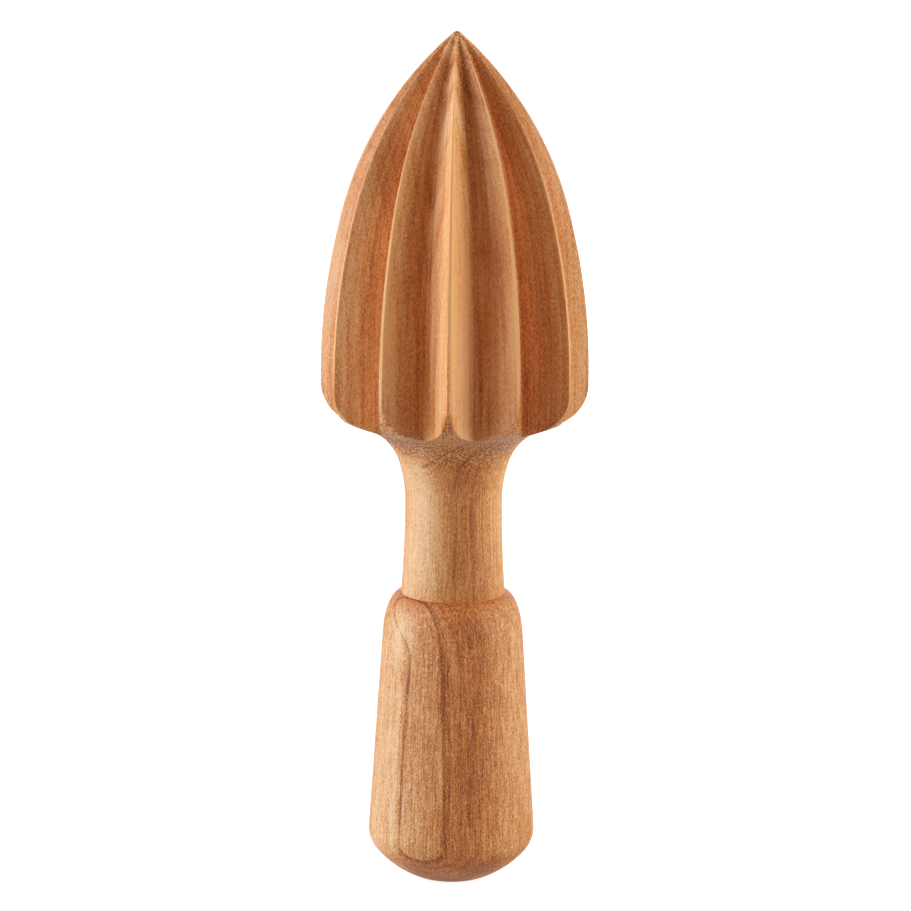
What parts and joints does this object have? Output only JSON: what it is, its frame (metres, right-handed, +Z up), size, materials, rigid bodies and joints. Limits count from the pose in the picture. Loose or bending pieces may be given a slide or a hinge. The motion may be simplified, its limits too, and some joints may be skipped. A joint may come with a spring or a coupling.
{
  "type": "citrus reamer",
  "caption": "Wooden hand reamer for citrus fruit: a fluted pointed head on a slim neck, its tenon glued into a turned grip.",
  "frame": {"origin": "middle of the flat under the butt, on the axis of the turned wood", "axes": "+Z up the axis from the butt to the point of the head; -Y faces the viewer, with one ridge 2.3 degrees off it"},
  "size_m": [0.05, 0.05, 0.1604],
  "materials": {
    "head_wood": "oiled, satin, as milled in the flutes and sanded on the neck",
    "handle_wood": "oiled, satin, turned and sanded"
  },
  "bodies": {
    "root": {"reamer_head": "head_wood", "handle": "handle_wood"}
  },
  "joints": []
}
